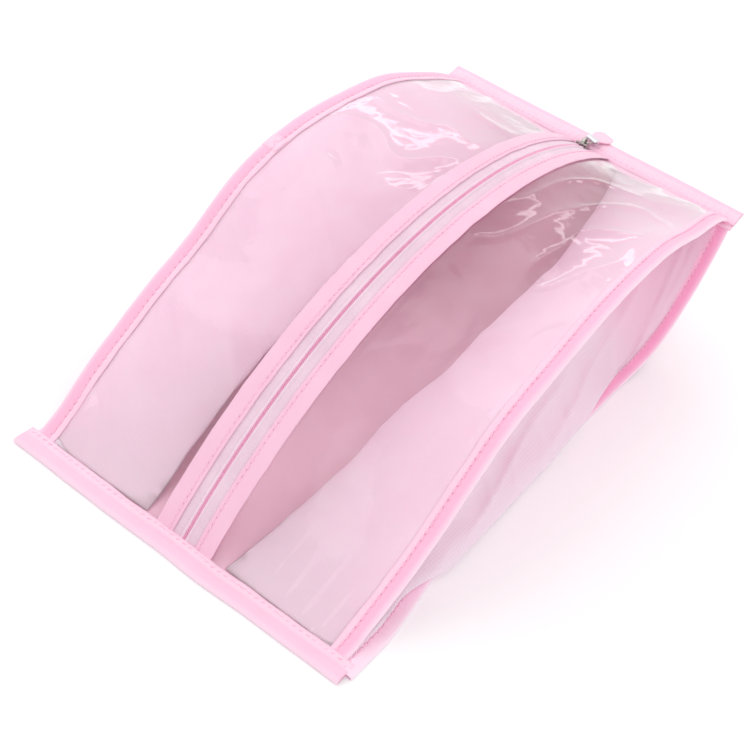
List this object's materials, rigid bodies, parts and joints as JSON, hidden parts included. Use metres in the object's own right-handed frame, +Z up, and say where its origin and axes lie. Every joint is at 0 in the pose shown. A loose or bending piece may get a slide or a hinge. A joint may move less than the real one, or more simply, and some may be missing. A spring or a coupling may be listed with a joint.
{
  "type": "shoe bag",
  "caption": "Flat-bottomed shoe bag with a clear film top split by a lengthwise coil zip, inward-folded fabric side gussets and bound seams.",
  "frame": {"origin": "on the underside of the base panel, on the middle line, 150 mm behind the front edge: the middle of the flat face that the bag rests on", "axes": "+Z up, +Y from the front seam to the rear seam that the closed slider sits at, +X across to the right"},
  "size_m": [0.23, 0.422, 0.1261],
  "materials": {
    "clear_film": "clear glossy soft PVC film, softly wrinkled",
    "gusset_fabric": "thin pale mauve-pink ripstop cloth",
    "base_fabric": "pink coated cloth",
    "binding": "light pink folded coated tape with lockstitch",
    "base_binding": "stronger pink folded tape with lockstitch",
    "facing": "pink coated cloth strip",
    "zip_tape": "grey-pink ribbed woven tape",
    "zip_coil": "pink nylon coil",
    "nickel": "nickel plated",
    "pull": "pale pink satin tab"
  },
  "bodies": {
    "root": {"base_panel": "base_fabric", "gusset_left": "gusset_fabric", "gusset_right": "gusset_fabric", "binding_front": "binding", "binding_rear": "binding", "binding_base_left": "base_binding", "binding_base_right": "base_binding", "zip_end_front": "zip_tape", "zip_end_rear": "zip_tape"},
    "flap_left": {"window_left": "clear_film", "facing_left": "facing", "zip_tape_left": "zip_tape", "zip_coil_left": "zip_coil", "binding_top_left": "binding"},
    "flap_right": {"window_right": "clear_film", "facing_right": "facing", "zip_tape_right": "zip_tape", "zip_coil_right": "zip_coil", "binding_top_right": "binding"},
    "slider": {"slider_body": "nickel"},
    "pull": {"pull_link": "nickel", "pull_tab": "pull"}
  },
  "joints": [
    {"name": "flap_left_open", "type": "hinge", "parent": "root", "child": "flap_left", "pos_m": [-0.11, -0.137, 0.002], "axis": [0, -0.9767, -0.2147], "range_deg": [0, 30]},
    {"name": "flap_right_open", "type": "hinge", "parent": "root", "child": "flap_right", "pos_m": [0.11, -0.137, 0.002], "axis": [0, 0.9767, 0.2147], "range_deg": [0, 30]},
    {"name": "slider_travel", "type": "hinge", "parent": "root", "child": "slider", "pos_m": [0, 0.10855, -0.18576], "axis": [1, 0, 0], "range_deg": [0, 75.9]},
    {"name": "pull_swing", "type": "hinge", "parent": "slider", "child": "pull", "pos_m": [0, 0.2487, 0.094], "axis": [0.9397, -0.3413, 0.0215], "range_deg": [0, 145]}
  ]
}
